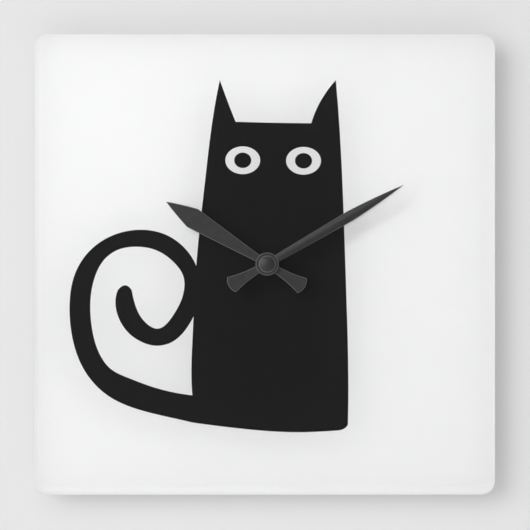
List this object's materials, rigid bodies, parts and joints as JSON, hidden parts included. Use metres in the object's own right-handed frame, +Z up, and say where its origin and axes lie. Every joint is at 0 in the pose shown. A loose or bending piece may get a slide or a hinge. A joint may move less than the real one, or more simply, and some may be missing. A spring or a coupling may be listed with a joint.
{
  "type": "wall clock",
  "caption": "Square clear-fronted wall clock printed with a sitting cat and its curled tail, with two charcoal hands and a battery movement on a keyhole hanger",
  "frame": {"origin": "on the axis of the hands, in the plane of the wall that the case rests against", "axes": "+X to the right as the room sees the face, -Y out of the wall into the room, +Z up"},
  "size_m": [0.273, 0.032, 0.273],
  "materials": {
    "clear_acrylic": "polished clear acrylic",
    "black_ink": "flat black print seen through the acrylic",
    "white_ink": "white backing print",
    "black_rubber": "matt",
    "plated_steel": "bright zinc",
    "turned_brass": "turned",
    "black_case": "fine moulded grain",
    "white_nylon": "satin moulded",
    "natural_nylon": "satin moulded",
    "board_green": "solder mask",
    "copper_wire": "lacquered copper",
    "soft_iron": "stamped",
    "black_resin": "cast resin",
    "magnet_grey": "sintered",
    "charcoal_paint": "satin charcoal lacquer on aluminium",
    "sleeve_print": "plain two-colour shrink sleeve"
  },
  "bodies": {
    "clock_body": {"face_panel": "clear_acrylic", "cat_print": "black_ink", "backing_print": "white_ink", "rubber_gasket": "black_rubber", "clamp_washer": "plated_steel", "clamp_nut": "turned_brass", "threaded_bushing": "turned_brass", "hanger_plate": "plated_steel", "case_front": "black_case", "case_back": "black_case", "rear_plate": "white_nylon", "middle_plate": "white_nylon", "stator_plate": "soft_iron", "coil_core": "soft_iron", "coil_bobbin": "natural_nylon", "coil_winding": "copper_wire", "circuit_board": "board_green", "quartz_crystal": "plated_steel", "chip_dome": "black_resin", "contact_plus": "plated_steel", "contact_minus": "plated_steel", "battery_spring": "plated_steel"},
    "minute_works": {"minute_hand": "charcoal_paint", "minute_collet": "turned_brass", "centre_cap": "charcoal_paint", "cannon_pinion": "turned_brass", "clutch_spring": "plated_steel", "centre_wheel": "natural_nylon"},
    "hour_works": {"hour_hand": "charcoal_paint", "hour_collet": "turned_brass", "hour_wheel": "white_nylon"},
    "minute_wheel": {"minute_wheel": "natural_nylon"},
    "setting_knob": {"setting_shaft": "natural_nylon", "set_knob": "black_case"},
    "third_wheel": {"third_wheel": "natural_nylon"},
    "second_wheel": {"second_wheel": "natural_nylon", "second_arbor": "plated_steel"},
    "fifth_wheel": {"fifth_wheel": "natural_nylon"},
    "rotor": {"rotor_pinion": "natural_nylon", "rotor_magnet": "magnet_grey"},
    "battery": {"battery_cell": "plated_steel", "battery_sleeve": "sleeve_print"}
  },
  "joints": [
    {"name": "minute_turn", "type": "hinge", "parent": "clock_body", "child": "minute_works", "pos_m": [0, 0, 0], "axis": [0, 1, 0], "continuous": true},
    {"name": "hour_turn", "type": "hinge", "parent": "clock_body", "child": "hour_works", "pos_m": [0, 0, 0], "axis": [0, 1, 0], "continuous": true},
    {"name": "minute_wheel_turn", "type": "hinge", "parent": "clock_body", "child": "minute_wheel", "pos_m": [0.00564, 0, -0.00205], "axis": [0, 1, 0], "continuous": true},
    {"name": "setting_turn", "type": "hinge", "parent": "clock_body", "child": "setting_knob", "pos_m": [0.01198, 0, -0.00436], "axis": [0, 1, 0], "continuous": true},
    {"name": "third_turn", "type": "hinge", "parent": "clock_body", "child": "third_wheel", "pos_m": [-0.00159, 0, 0.00904], "axis": [0, 1, 0], "continuous": true},
    {"name": "second_turn", "type": "hinge", "parent": "clock_body", "child": "second_wheel", "pos_m": [0, 0, 0], "axis": [0, 1, 0], "continuous": true},
    {"name": "fifth_turn", "type": "hinge", "parent": "clock_body", "child": "fifth_wheel", "pos_m": [-0.00491, 0, -0.00344], "axis": [0, 1, 0], "continuous": true},
    {"name": "rotor_turn", "type": "hinge", "parent": "clock_body", "child": "rotor", "pos_m": [-0.01043, 0, -0.00247], "axis": [0, 1, 0], "continuous": true},
    {"name": "battery_out", "type": "slide", "parent": "clock_body", "child": "battery", "axis": [0, 1, 0], "range_m": [0, 0.03]}
  ],
  "couplings": [
    {"joint": "hour_turn", "follows": "minute_turn", "ratio": 0.083333},
    {"joint": "minute_wheel_turn", "follows": "minute_turn", "ratio": -0.33333},
    {"joint": "setting_turn", "follows": "minute_turn", "ratio": 0.66667},
    {"joint": "third_turn", "follows": "minute_turn", "ratio": -8},
    {"joint": "second_turn", "follows": "minute_turn", "ratio": 60},
    {"joint": "fifth_turn", "follows": "minute_turn", "ratio": -300},
    {"joint": "rotor_turn", "follows": "minute_turn", "ratio": 1800}
  ]
}
